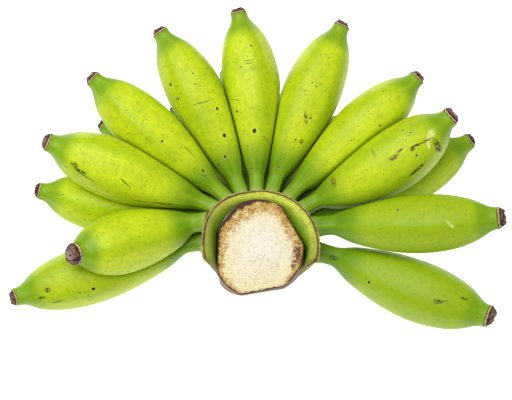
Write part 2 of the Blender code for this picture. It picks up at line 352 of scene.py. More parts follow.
@dataclass(frozen=True)
class FingerForm:
    """The shape that every finger shares, and how finely it is made."""

    neck_end: float = 0.09
    tip_start: float = 0.95
    fullest: float = 1.23
    plumpness: float = 0.64
    shoulder: float = 0.10
    shoulder_least: float = 0.25
    ridges: int = 5
    ridge_depth: float = 0.06
    ridge_turn: float = 54.0
    ridge_wander: float = 16.0
    ridge_wander_rate: float = 7.0
    ridge_sharpness: float = 1.5
    ridge_level: float = 0.45
    unevenness: float = 0.010
    fullness: float = 1.02
    root_turn: float = 0.55
    root_turn_end: float = 0.22
    root_sink: float = 0.0022
    root_flare: float = 0.14
    root_flare_end: float = 0.05
    collar_flare: float = 0.14
    collar_start: float = 0.87
    collar_full: float = 0.95
    peel_end: float = 0.976
    peel_hem: float = 0.004
    peel_mouth: float = 0.93
    spine_steps: int = 60
    around: int = 24
    stations: int = 20
    smoothing: int = 2
    model_length: float = 0.125
    model_width: float = 0.039

    def swell(self, shares: np.ndarray) -> np.ndarray:
        """How full the finger is at each share of its length, 0 at its slim ends and 1 at its belly."""
        along = np.clip((shares - self.neck_end) / (self.tip_start - self.neck_end), 0.0, 1.0)
        return np.clip(np.sin(math.pi * along ** self.fullest), 0.0, 1.0) ** self.plumpness

    def slim(self, plan: FingerPlan, shares: np.ndarray) -> np.ndarray:
        """Half the width of a finger that had no belly, from its root to its tip."""
        return np.interp(shares, [0.0, 1.0], [plan.root_width / 2, plan.tip_width / 2])

    def radius(self, plan: FingerPlan, shares: np.ndarray) -> np.ndarray:
        """Half the width of a finger's solid at each share of its length."""
        slim = self.slim(plan, shares)
        return slim + (plan.girth / 2 - slim) * self.swell(shares)

    def peel_radius(self, plan: FingerPlan, shares: np.ndarray) -> np.ndarray:
        """Half the width of the peel, with hollow shoulders at both ends and a flare at the root.

        Args:
            plan: the finger.
            shares: shares of its length.

        Returns:
            The radius at each share.
        """
        slim = self.slim(plan, shares)
        along = (shares - self.neck_end) / (self.tip_start - self.neck_end)
        hollow = smooth_step(along / self.shoulder) * smooth_step((1.0 - along) / self.shoulder)
        filled = self.shoulder_least + (1.0 - self.shoulder_least) * hollow
        root = self.root_flare * np.clip(1.0 - shares / self.root_flare_end, 0.0, 1.0) ** 2
        collar = (shares - self.collar_start) / (self.collar_full - self.collar_start)
        collar = self.collar_flare * smooth_step(collar)
        belly = self.fullness * plan.girth / 2 - slim
        return slim * (1.0 + root + collar) + belly * self.swell(shares) * filled

    def ridge(self, angles: np.ndarray, plan: FingerPlan) -> np.ndarray:
        """0 on the middle of each flat side to 1 on each rounded edge between two sides."""
        wander = self.ridge_wander * math.sin(self.ridge_wander_rate * plan.root_azimuth)
        return 0.5 + 0.5 * np.cos(self.ridges * (angles - math.radians(self.ridge_turn + wander)))

    def section(self, angles: np.ndarray, plan: FingerPlan) -> np.ndarray:
        """How the cross-section departs from round: a pentagon with well rounded edges."""
        raised = self.ridge(angles, plan) ** self.ridge_sharpness - self.ridge_level
        return 1.0 + self.ridge_depth * raised


@dataclass(frozen=True)
class CrownForm:
    """The crown's sizes: a round stalk, and the cushion that wraps its back and sides."""

    stalk_radius: float = 0.0285
    left_corner: float = 0.0065
    left_corner_azimuth: float = -125.0
    right_corner: float = 0.0018
    right_corner_azimuth: float = -42.0
    back_corner: float = 0.0019
    back_corner_azimuth: float = 135.0
    right_flat: float = 0.0251
    right_flat_azimuth: float = 32.0
    left_flat: float = 0.029
    left_flat_azimuth: float = 180.0
    wall_radius: float = 0.0395
    wall_swell: float = 0.0028
    wall_swell_azimuth: float = 140.0
    wall_swell_half_angle: float = 45.0
    base_radius: float = 0.027
    cushion_middle: float = 90.0
    foot_half_angle: float = 98.0
    foot_fade: float = 14.0
    rim_half_angle: float = 121.0
    rim_fade: float = 18.0
    wall_foot: float = 0.007
    wall_top: float = 0.0425
    cut_height: float = 0.046
    cut_slope: float = 0.35
    front_face: float = 0.0292
    front_azimuth: float = -80.0
    front_toe: float = 0.008
    front_knee_height: float = 0.03

    def wall(self, azimuths: np.ndarray) -> np.ndarray:
        """The cushion's radius: round, and a little fuller towards the back left."""
        away = np.clip(away_from(azimuths, self.wall_swell_azimuth) / self.wall_swell_half_angle, 0.0, 1.0)
        return self.wall_radius + self.wall_swell * np.cos(away * math.pi / 2) ** 2

    def cushion(self, azimuths: np.ndarray, height: float) -> np.ndarray:
        """Where the cushion wraps the stalk. Its bare front narrows towards the rim.

        Args:
            azimuths: directions in plan, in degrees.
            height: height above the surface.

        Returns:
            1 where it wraps the stalk, 0 where the front is bare.
        """
        rise = min(max((height - self.wall_foot) / (self.wall_top - self.wall_foot), 0.0), 1.0)
        half_angle = self.foot_half_angle + (self.rim_half_angle - self.foot_half_angle) * rise
        fade = self.foot_fade + (self.rim_fade - self.foot_fade) * rise
        return smooth_step((half_angle - away_from(azimuths, self.cushion_middle)) / fade)

    def facing(self, azimuths: np.ndarray, middle: float) -> np.ndarray:
        """1 at an azimuth, falling to 0 at a quarter turn from it."""
        return np.maximum(np.cos(np.radians(azimuths - middle)), 0.0)

    def stalk(self, azimuths: np.ndarray) -> np.ndarray:
        """The stalk's outline: round, with three corners drawn out and a flat on either side.

        Args:
            azimuths: directions in plan, in degrees.

        Returns:
            The radius in each direction.
        """
        left = self.left_corner * self.facing(azimuths, self.left_corner_azimuth) ** 2
        right = self.right_corner * self.facing(azimuths, self.right_corner_azimuth) ** 4
        back = self.back_corner * self.facing(azimuths, self.back_corner_azimuth) ** 2
        outline = self.stalk_radius + left + right + back
        flats = ((self.right_flat, self.right_flat_azimuth), (self.left_flat, self.left_flat_azimuth))
        for distance, azimuth in flats:
            outline = np.minimum(outline, distance / np.maximum(self.facing(azimuths, azimuth), TINY))
        return outline

    def front_limit(self, azimuths: np.ndarray, height: np.ndarray) -> np.ndarray:
        """The upright front face, and the slope under it, which trim the crown.

        Args:
            azimuths: directions in plan, in degrees.
            height: height above the surface, for each direction.

        Returns:
            The radius at which each direction is trimmed.
        """
        knee = np.clip(height / self.front_knee_height, 0.0, 1.0)
        front = self.front_toe + (self.front_face - self.front_toe) * knee
        return front / np.maximum(self.facing(azimuths, self.front_azimuth), TINY)

    def cut(self, radius: np.ndarray, azimuths: np.ndarray) -> np.ndarray:
        """The height of the slanting cut across the stalk."""
        return self.cut_height + self.cut_slope * radius * np.sin(np.radians(azimuths))

    def edge(self, azimuths: np.ndarray) -> np.ndarray:
        """The radius of the cut face's edge."""
        top = np.full(azimuths.shape, self.cut_height)
        return np.minimum(self.stalk(azimuths), self.front_limit(azimuths, top))


class Spine:
    """The bent middle line of one finger."""

    def __init__(self, plan: FingerPlan, form: FingerForm, crown: CrownForm) -> None:
        """Works out the line's points from the cushion's wall to the tip.

        Args:
            plan: the finger.
            form: the shape that all fingers share.
            crown: the crown that it grows from.
        """
        self.plan = plan
        self.form = form
        azimuth = math.radians(plan.root_azimuth)
        reach = float(crown.wall(np.array(plan.root_azimuth))) + ROOT_GAP
        root = np.array([reach * math.cos(azimuth), reach * math.sin(azimuth), plan.root_height])
        middles = (np.arange(form.spine_steps) + 0.5) / form.spine_steps
        steps = self.directions(middles) * plan.length / form.spine_steps
        self.points = np.vstack([root, root + np.cumsum(steps, axis=0)])
        self.shares = np.linspace(0.0, 1.0, form.spine_steps + 1)
        self.radii = form.radius(plan, self.shares)

    def directions(self, shares: np.ndarray) -> np.ndarray:
        """The line's directions, which leave the crown squarely and then sweep and curl evenly.

        Args:
            shares: shares of its length.

        Returns:
            A direction for each share.
        """
        plan = self.plan
        heading = plan.heading + plan.sweep * (shares - 0.5)
        turn = np.clip(1.0 - np.maximum(shares, 0.0) / self.form.root_turn_end, 0.0, 1.0) ** 2
        first_heading = plan.heading - plan.sweep / 2
        heading = np.radians(heading + self.form.root_turn * (plan.root_azimuth - first_heading) * turn)
        lift = np.radians(plan.lift + plan.curl * (shares - 0.5))
        flat = np.cos(lift)
        return np.stack([flat * np.cos(heading), flat * np.sin(heading), np.sin(lift)], axis=-1)

    def frames(self, shares: np.ndarray) -> tuple[np.ndarray, np.ndarray, np.ndarray, np.ndarray]:
        """Places along the line, and which way is which there.

        Args:
            shares: shares of its length, which may run past its ends.

        Returns:
            The points, and the directions to the line's left, above it and ahead.
        """
        inside = np.clip(shares, 0.0, 1.0)
        axes = [np.interp(inside, self.shares, values) for values in self.points.T]
        centres = np.stack(axes, axis=-1)
        ahead = self.directions(inside)
        centres = centres + ahead * ((shares - inside) * self.plan.length)[:, None]
        left = np.cross([0.0, 0.0, 1.0], ahead)
        left /= np.linalg.norm(left, axis=-1, keepdims=True)
        return centres, left, np.cross(ahead, left), ahead

    def depth(self, points: np.ndarray) -> np.ndarray:
        """How far points are outside the plain round finger, negative inside."""
        away = np.linalg.norm(points[..., None, :] - self.points, axis=-1)
        return np.min(away - self.radii, axis=-1)

    def near(self, other: Spine, margin: float = 0.004) -> bool:
        """Whether another finger comes close enough to press this one."""
        away = np.linalg.norm(self.points[:, None, :] - other.points[None, :, :], axis=-1)
        return bool(np.min(away - self.radii[:, None] - other.radii[None, :]) < margin)


@dataclass(frozen=True)
class Press:
    """How far each spoke of a finger can reach before its neighbours press it flat."""

    gap: float = 0.0005
    softness: float = 0.0009
    grid_along: int = 56
    grid_around: int = 48
    reach: float = 1.35
    halvings: int = 13
    least: float = 0.0005
    unpressed: float = 4.0

    def limits(self, own: Spine, others: list[Spine]) -> np.ndarray:
        """The reach of every spoke on a grid of stations and angles.

        Args:
            own: the finger's line.
            others: its neighbours' lines.

        Returns:
            Reach in metres, stations by angles.
        """
        shares = np.linspace(0.0, 1.0, self.grid_along)
        angles = np.arange(self.grid_around) * 2 * math.pi / self.grid_around
        centres, left, above, _ = own.frames(shares)
        sideways = np.cos(angles)[None, :, None] * left[:, None, :]
        upwards = np.sin(angles)[None, :, None] * above[:, None, :]
        radii = np.interp(shares, own.shares, own.radii)
        high = np.repeat(radii[:, None] * self.reach, len(angles), axis=1)
        top = high.copy()
        low = np.full(high.shape, self.least)
        for _ in range(self.halvings):
            middle = (low + high) / 2
            points = centres[:, None, :] + (sideways + upwards) * middle[..., None]
            depth = own.depth(points)
            limit = np.full(middle.shape, 1.0)
            for other in others:
                limit = np.minimum(limit, other.depth(points) - depth - self.gap)
            high = np.where(limit < 0.0, middle, high)
            low = np.where(limit < 0.0, low, middle)
        return np.where(high < top, low, top * self.unpressed)

    def sample(self, limits: np.ndarray, shares: np.ndarray, angles: np.ndarray) -> np.ndarray:
        """Reads the grid of limits between its points.

        Args:
            limits: the grid, stations by angles.
            shares: shares of the finger's length.
            angles: angles round it, in radians.

        Returns:
            The limit for each share and angle.
        """
        row = np.clip(shares, 0.0, 1.0) * (self.grid_along - 1)
        column = (angles % (2 * math.pi)) / (2 * math.pi) * self.grid_around
        row_low = np.minimum(row.astype(int), self.grid_along - 2)
        column_low = column.astype(int) % self.grid_around
        row_part = row - row_low
        column_part = column - column.astype(int)
        after = (column_low + 1) % self.grid_around
        first, second = (limits[row, column_low] * (1 - column_part) + limits[row, after] * column_part
                         for row in (row_low, row_low + 1))
        return first * (1 - row_part) + second * row_part

    def hold(self, radius: np.ndarray, limit: np.ndarray) -> np.ndarray:
        """The smaller of a radius and its limit, with a rounded corner between the two."""
        return -self.softness * np.logaddexp(-radius / self.softness, -limit / self.softness)


def take_active(name: str) -> bpy.types.Object:
    """Takes up the object that an operator has just added.

    Args:
        name: what it and its mesh are called from now on.

    Returns:
        The object.
    """
    thing = bpy.context.active_object
    thing.name = name
    thing.data.name = name
    return thing


def start_edit() -> None:
    """Opens edit mode on the active object with everything selected."""
    bpy.ops.object.mode_set(mode="EDIT")
    bpy.ops.mesh.select_all(action="SELECT")


def end_edit() -> None:
    """Makes normals point outwards, and closes edit mode."""
    bpy.ops.mesh.select_all(action="SELECT")
    bpy.ops.mesh.normals_make_consistent(inside=False)
    bpy.ops.object.mode_set(mode="OBJECT")


def draw_out(distance: float, scale: float) -> None:
    """Extrudes the selected face straight up and resizes it about the Z axis."""
    bpy.ops.mesh.extrude_region_move(TRANSFORM_OT_translate={"value": (0.0, 0.0, distance)})
    if abs(scale - 1.0) > TINY:
        bpy.ops.transform.resize(value=(scale, scale, 1.0), center_override=(0.0, 0.0, 0.0))


def add_smoothing(thing: bpy.types.Object, levels: int) -> None:
    """Adds a subdivision surface and applies it.

    Args:
        thing: the object.
        levels: how many times its faces are divided.
    """
    bpy.context.view_layer.objects.active = thing
    modifier = thing.modifiers.new("smoothing", "SUBSURF")
    modifier.levels = levels
    modifier.render_levels = levels
    bpy.ops.object.modifier_apply(modifier=modifier.name)


def points_of(thing: bpy.types.Object) -> np.ndarray:
    """Reads the points of a mesh.

    Args:
        thing: the object.

    Returns:
        Its points, one to a row.
    """
    flat = np.zeros(len(thing.data.vertices) * 3)
    thing.data.vertices.foreach_get("co", flat)
    return flat.reshape(-1, 3)


def place_points(thing: bpy.types.Object, points: np.ndarray) -> None:
    """Moves a mesh's points."""
    thing.data.vertices.foreach_set("co", points.astype(np.float32).ravel())
    thing.data.update()


def keep_attributes(thing: bpy.types.Object, **fields: np.ndarray) -> None:
    """Stores numbers or vectors at the points of a mesh, for the materials to read.

    Args:
        thing: the object.
        fields: the values at every point, by the attribute's name.
    """
    for name, values in fields.items():
        kind, field = ("FLOAT", "value") if values.ndim == 1 else ("FLOAT_VECTOR", "vector")
        attribute = thing.data.attributes.new(name, kind, "POINT")
        attribute.data.foreach_set(field, values.astype(np.float32).ravel())


def copy_piece(model: bpy.types.Object, name: str) -> bpy.types.Object:
    """Copies a modelled piece.

    Args:
        model: the piece.
        name: the copy's name.

    Returns:
        The copy, with a mesh of its own.
    """
    thing = bpy.data.objects.new(name, model.data.copy())
    thing.data.name = name
    bpy.context.scene.collection.objects.link(thing)
    return thing


def finish_piece(thing: bpy.types.Object, material: bpy.types.Material, node: str) -> str:
    """Shades, dresses and mounts a finished piece.

    Args:
        thing: the piece.
        material: its finish.
        node: the CAD node that it stands for.

    Returns:
        The piece's name.
    """
    thing.data.materials.clear()
    thing.data.materials.append(material)
    thing.data.shade_smooth()
    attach(thing, BODY)
    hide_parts(node)
    return thing.name


@dataclass(frozen=True)
class PeelFinish:
    """Unripe banana peel: a grown waxy skin, satin, yellow green on the belly and greener at both ends.

    The wax gives a broad soft gloss. Dust-fine dots, faint streaks along the finger and a few dry
    marks break up the colour. The real grain of the skin is too fine to show, so it is drawn half a
    millimetre wide.
    """

    root: str = "#94A654"
    neck: str = "#659406"
    neck_dull: str = "#4C7C06"
    # Painted shadow on the necks that lie under the upper row
    neck_shadow: str = "#2E5006"
    belly: str = "#CCDD10"
    belly_dull: str = "#97B20A"
    shoulder: str = "#A6C40E"
    end: str = "#74A00A"
    # Deeper green for random blotches, and painted shade on the rounded edges
    shade: str = "#8FB10A"
    # Painted reflection of the white surround, laid on the flat sides
    pale: str = "#D4DE38"
    speck: str = "#6E8F14"
    dot: str = "#5C7E10"
    fleck: str = "#12110A"
    halo: str = "#D3DE6E"
    scar: str = "#35300F"
    rust: str = "#6E5412"
    scratch: str = "#57621A"
    scuff: str = "#DEE690"
    roughness: float = 0.42
    ior: float = 1.30
    sheen: float = 0.02
    sheen_roughness: float = 0.45
    blotch_mm: float = 16.0
    mottle_mm: float = 3.4
    streak_mm: float = 2.2
    streak_stretch: float = 0.08
    dot_mm: float = 2.6
    patch_mm: float = 1.1
    ragged_mm: float = 0.7
    ragged_by_mm: float = 1.1
    grain_mm: float = 0.5
    relief_mm: float = 0.3
    relief_strength: float = 0.35
    grain_share: float = 0.25
    pattern_step: Triple = (0.37, 0.11, 0.23)
    neck_dullness: float = 0.65
    reflection_least: float = 0.04
    reflection_by_ripeness: float = 0.16
    edge_shade_strength: float = 0.35
    dot_share: float = 0.5
    dot_strength: float = 0.65
    halo_strength: float = 0.32
    scratch_strength: float = 0.9

    def build(self, plan: FingerPlan, seed: int) -> bpy.types.Material:
        """Makes the peel of one finger, with its own marks.

        Args:
            plan: the finger.
            seed: shifts the patterns, so that no two peels are alike.

        Returns:
            The material.
        """
        material, add = new_material(f"waxy_green_peel_{plan.node}")
        space = add("Attribute", attribute_name="peel_space", out="Vector")
        spot = add("Mapping", space, tuple(seed * step for step in self.pattern_step))
        colour = self.ground(add, plan)
        colour = self.patterns(add, spot, colour)
        colour, sunk = self.marked(add, space, colour, plan)
        grain = add("TexNoise", space, per_metre(self.grain_mm))
        height = add("Math", grain, self.grain_share, operation="MULTIPLY")
        if sunk is not None:
            height = add("Math", height, sunk, operation="SUBTRACT")
        finish_material(material, colour, height, self.relief_mm * MM, self.relief_strength,
                        self.roughness, self.ior)
        shader = material.node_tree.nodes["Principled BSDF"]
        shader.inputs["Sheen Weight"].default_value = self.sheen
        shader.inputs["Sheen Roughness"].default_value = self.sheen_roughness
        return material

    def ground(self, add: Adder, plan: FingerPlan) -> Socket:
        """The colour along the finger, with painted reflection on the flat sides and painted shade on the
        rounded edges.

        Args:
            add: adds a node.
            plan: the finger.

        Returns:
            The colour.
        """
        # The stops of the ramps are shares of the finger's length
        along = add("Attribute", attribute_name="along", out="Fac")
        ridge = add("Attribute", attribute_name="ridge", out="Fac")
        belly = add("Mix", plan.ripeness, self.belly_dull, self.belly, data_type="RGBA")
        # Painted shadow: a neck under the upper row takes a near-black green; other necks only grow duller
        # the less ripe they are
        deep = self.neck_shadow if plan.deep_neck else self.neck_dull
        depth = 1.0 if plan.deep_neck else self.neck_dullness * (1.0 - plan.ripeness)
        root = add("ValToRGB", along, stops=((0.0, self.root), (0.045, self.neck), (0.20, self.neck),
                                             (0.34, self.shoulder)))
        dull_or_shadowed_neck = add("ValToRGB", along, stops=((0.0, deep), (0.20, deep), (0.34, self.shoulder)))
        root = add("Mix", depth, root, dull_or_shadowed_neck, data_type="RGBA")
        end = add("ValToRGB", along, stops=((0.82, self.shoulder), (0.90, self.end), (1.0, self.end)))
        ends = add("Mix", add("MapRange", along, 0.5, 0.6), root, end, data_type="RGBA")
        swell = add("ValToRGB", along, stops=((0.14, "#000000"), (0.36, "#FFFFFF"), (0.80, "#FFFFFF"),
                                              (0.91, "#000000")))
        colour = add("Mix", swell, ends, belly, data_type="RGBA")
        # Painted reflection: the flat sides are mixed towards pale for the white surround they mirror;
        # painted shade: the rounded edges are mixed towards a deeper green
        painted_reflection = self.reflection_least + self.reflection_by_ripeness * plan.ripeness
        flat = add("MapRange", ridge, 0.0, 0.6, painted_reflection, 0.0)
        colour = add("Mix", flat, colour, self.pale, data_type="RGBA")
        edge = add("MapRange", ridge, 0.5, 1.0, 0.0, self.edge_shade_strength)
        return add("Mix", edge, colour, self.shade, data_type="RGBA")

    def patterns(self, add: Adder, spot: Socket, colour: Socket) -> Socket:
        """Broad blotches, fine mottling, streaks along the finger and tiny dots.

        Args:
            add: adds a node.
            spot: the place that the patterns follow.
            colour: the colour under them.

        Returns:
            The new colour.
        """
        stretched = add("Mapping", spot, None, None, (1.0, 1.0, self.streak_stretch))
        blotches = (spot, self.blotch_mm, 3.0, self.shade, 0.42, 0.72, 0.38)
        mottling = (spot, self.mottle_mm, 4.0, self.speck, 0.46, 0.72, 0.28)
        streaks = (stretched, self.streak_mm, 2.0, self.speck, 0.35, 0.70, 0.13)
        for place, size, detail, tint, low, high, most in (blotches, mottling, streaks):
            noise = add("TexNoise", place, per_metre(size), detail)
            amount = add("MapRange", noise, low, high, 0.0, most)
            colour = add("Mix", amount, colour, tint, data_type="RGBA")
        cells = add("TexVoronoi", spot, per_metre(self.dot_mm))
        chance = add("TexVoronoi", spot, per_metre(self.dot_mm), out="Color")
        chosen = add("Math", add("SeparateColor", chance), self.dot_share, operation="GREATER_THAN")
        dots = add("MapRange", cells, 0.10, 0.26, self.dot_strength, 0.0)
        dots = add("Math", dots, chosen, operation="MULTIPLY")
        return add("Mix", dots, colour, self.dot, data_type="RGBA")

    def marked(self, add: Adder, space: Socket, colour: Socket,
               plan: FingerPlan) -> tuple[Socket, Socket | None]:
        """Lays a finger's marks over its colour.

        Args:
            add: adds a node.
            space: the place on the unbent finger.
            colour: the colour under the marks.
            plan: the finger.

        Returns:
            The new colour, and how deep the marks are sunk, or None on a finger without marks.
        """
        # Distances from a mark are in its own half sizes
        sunk = None
        ragged = add("TexNoise", space, per_metre(self.ragged_mm), out="Color")
        shift = add("VectorMath", ragged, (0.5, 0.5, 0.5), operation="SUBTRACT")
        shift = add("VectorMath", shift, self.ragged_by_mm * MM, operation="SCALE")
        patchy = add("MapRange", add("TexNoise", space, per_metre(self.patch_mm), 3.0), 0.35, 0.55)
        tints = {Blemish.SCAR: self.scar, Blemish.RUST: self.rust, Blemish.SCUFF: self.scuff,
                 Blemish.SCRATCH: self.scratch, Blemish.FLECK: self.fleck}
        for mark in plan.marks:
            away = self.distance(add, space, shift, mark, plan)
            core = add("MapRange", away, 0.75, 1.45, 1.0, 0.0)
            worn = core
            if mark.kind is Blemish.FLECK:
                halo = add("MapRange", away, 1.4, 2.1, self.halo_strength, 0.0)
                colour = add("Mix", halo, colour, self.halo, data_type="RGBA")
            elif mark.kind is Blemish.SCRATCH:
                worn = add("Math", core, self.scratch_strength, operation="MULTIPLY")
            else:
                worn = add("Math", core, patchy, operation="MULTIPLY")
            colour = add("Mix", worn, colour, tints[mark.kind], data_type="RGBA")
            sunk = core if sunk is None else add("Math", sunk, core, operation="MAXIMUM")
        return colour, sunk

    def distance(self, add: Adder, space: Socket, shift: Socket, mark: Mark, plan: FingerPlan) -> Socket:
        """How far a place is from a mark's middle.

        Args:
            add: adds a node.
            space: the place on the unbent finger.
            shift: what makes the mark's edge ragged.
            mark: the mark.
            plan: the finger.

        Returns:
            The distance, 1 at the mark's edge.
        """
        radius = float(FingerForm().peel_radius(plan, np.array(mark.along)))
        turn = math.radians(mark.around)
        middle = (radius * math.cos(turn), radius * math.sin(turn), mark.along * plan.length)
        centred = add("VectorMath", space, middle, operation="SUBTRACT")
        turned = add("Mapping", centred, None, (0.0, 0.0, -turn))
        laid = add("Mapping", turned, None, (math.radians(mark.turn), 0.0, 0.0))
        moved = add("VectorMath", laid, shift, operation="ADD")
        scale = (0.5 / mark.length, 2.0 / mark.width, 2.0 / mark.length)
        return add("VectorMath", add("VectorMath", moved, scale, operation="MULTIPLY"), operation="LENGTH")


@dataclass(frozen=True)
class FlowerEndFinish:
    """The dried flower end: shrunken corky tissue, which scatters light and shows no gloss.

    A cream band runs where it left the peel. Its patterns are in units of the end's radius, which is
    about 6 mm.
    """

    dark: str = "#2A1812"
    brown: str = "#8A665C"
    band: str = "#D0B384"
    hollow: str = "#A78C80"
    line: str = "#3A2416"
    roughness: float = 0.85
    radius_mm: float = 6.0
    stir_mm: float = 1.9
    mottle_mm: float = 2.3
    crack_mm: float = 1.2
    wander: float = 0.14
    crack_strength: float = 0.6
    relief_mm: float = 0.6
    relief_strength: float = 0.8

    def build(self) -> bpy.types.Material:
        """Makes the material.

        Returns:
            The material.
        """
        material, add = new_material("dried_corky_flower_end")
        # Heights and widths are in radii: the band, then the dome, then the hollow in its middle
        space = add("Attribute", attribute_name="tip_space", out="Vector")
        shift = add("Attribute", attribute_name="tip_shift", out="Fac")
        spot = add("VectorMath", space, shift, operation="ADD")
        stir = add("TexNoise", spot, self.radius_mm / self.stir_mm, 4.0)
        wander = add("MapRange", stir, 0.0, 1.0, -self.wander, self.wander)
        rise = add("Math", add("SeparateXYZ", space, out="Z"), wander, operation="ADD")
        side = add("ValToRGB", rise, stops=((0.0, self.line), (0.04, self.line), (0.09, self.band),
                                            (0.17, self.band), (0.25, self.dark)))
        mottle = add("TexNoise", spot, self.radius_mm / self.mottle_mm, 5.0)
        dome = add("ValToRGB", mottle, stops=((0.41, self.dark), (0.55, self.brown)))
        colour = add("Mix", add("MapRange", rise, 0.30, 0.42), side, dome, data_type="RGBA")
        flat = add("VectorMath", space, (1.0, 1.0, 0.0), operation="MULTIPLY")
        across = add("VectorMath", flat, operation="LENGTH")
        middle = add("ValToRGB", across, stops=((0.08, self.dark), (0.20, self.hollow), (0.42, self.hollow),
                                                (0.60, self.dark)))
        inside = add("MapRange", across, 0.54, 0.66, 1.0, 0.0)
        colour = add("Mix", inside, colour, middle, data_type="RGBA")
        cracks = add("TexVoronoi", spot, self.radius_mm / self.crack_mm, feature="DISTANCE_TO_EDGE")
        cracks = add("MapRange", cracks, 0.0, 0.10, self.crack_strength, 0.0)
        colour = add("Mix", cracks, colour, self.dark, data_type="RGBA")
        finish_material(material, colour, stir, self.relief_mm * MM, self.relief_strength, self.roughness)
        return material


@dataclass(frozen=True)
class CushionFinish:
    """The crown's skin: waxy green on the rim, with painted shadow in the groove, dry and brown at the cut
    edge.

    The wax gives the rim a soft gloss, and the stains are sap that has dried on it. The rim carries painted
    light: it is lighter towards one side and has painted shade on the others.
    """

    wall: str = "#7FA032"
    rim: str = "#CCD446"
    # Painted shade for the rim's sides away from the light
    rim_shaded_side: str = "#868F24"
    inner: str = "#769A20"
    # Painted shadow in the groove between the rim and the stalk
    groove: str = "#1E270C"
    stub: str = "#7C8846"
    skin_edge: str = "#4E3820"
    pale_edge: str = "#C9C3A0"
    bare: str = "#6C523C"
    under: str = "#C9B584"
    stain: str = "#8C7A2C"
    roughness: float = 0.5
    ior: float = 1.36
    wander_mm: float = 5.5
    stain_mm: float = 3.1
    dull_mm: float = 2.0
    grain_mm: float = 1.1
    wander: float = 0.05
    stain_strength: float = 0.60
    dull_strength: float = 0.35
    relief_mm: float = 0.4
    relief_strength: float = 0.5

    def build(self) -> bpy.types.Material:
        """Makes the material, which follows the crown's tones from foot to cut edge.

        Returns:
            The material.
        """
        material, add = new_material("waxy_crown_skin")
        # Tones run from 0 at the foot over the wall, the rim and the groove to 1 at the cut edge
        place = add("TexCoord", out="Object")
        wander = add("TexNoise", place, per_metre(self.wander_mm), 4.0)
        wander = add("MapRange", wander, 0.0, 1.0, -self.wander, self.wander)
        tone = add("Math", add("Attribute", attribute_name="tone", out="Fac"), wander, operation="ADD")
        # Painted light: the rim is mixed from its shaded colour on the sides to its bright one where lit is
        # 1
        lit = add("Attribute", attribute_name="lit", out="Fac")
        rim = add("Mix", lit, self.rim_shaded_side, self.rim, data_type="RGBA")
        stained = add("TexNoise", place, per_metre(self.stain_mm), 5.0, 0.65)
        stained = add("MapRange", stained, 0.50, 0.66, 0.0, self.stain_strength)
        rim = add("Mix", stained, rim, self.stain, data_type="RGBA")
        low = add("ValToRGB", tone, stops=((0.0, self.under), (0.06, self.wall), (1.0, self.wall)))
        # Painted shadow: the inner slope darkens into a near-black groove
        high = add("ValToRGB", tone, stops=((0.50, self.inner), (0.62, self.inner), (0.76, self.groove),
                                            (0.82, self.groove), (0.86, self.stub)))
        skin = add("Mix", add("MapRange", tone, 0.30, 0.36), low, rim, data_type="RGBA")
        skin = add("Mix", add("MapRange", tone, 0.46, 0.58), skin, high, data_type="RGBA")
        dull = add("TexNoise", place, per_metre(self.dull_mm), 3.0)
        dull = add("MapRange", dull, 0.50, 0.72, 0.0, self.dull_strength)
        skin = add("Mix", dull, skin, self.inner, data_type="RGBA")
        bare = add("ValToRGB", tone, stops=((0.0, self.under), (0.5, self.bare), (0.9, self.bare)))
        bare = add("Mix", dull, bare, self.skin_edge, data_type="RGBA")
        cushion = add("Attribute", attribute_name="cushion", out="Fac")
        colour = add("Mix", cushion, bare, skin, data_type="RGBA")
        pale = add("Attribute", attribute_name="pale_edge", out="Fac")
        lip = add("Mix", pale, self.skin_edge, self.pale_edge, data_type="RGBA")
        colour = add("Mix", add("MapRange", tone, 0.94, 0.98), colour, lip, data_type="RGBA")
        grain = add("TexNoise", place, per_metre(self.grain_mm), 3.0)
        finish_material(material, colour, grain, self.relief_mm * MM, self.relief_strength,
                        self.roughness, self.ior)
        return material


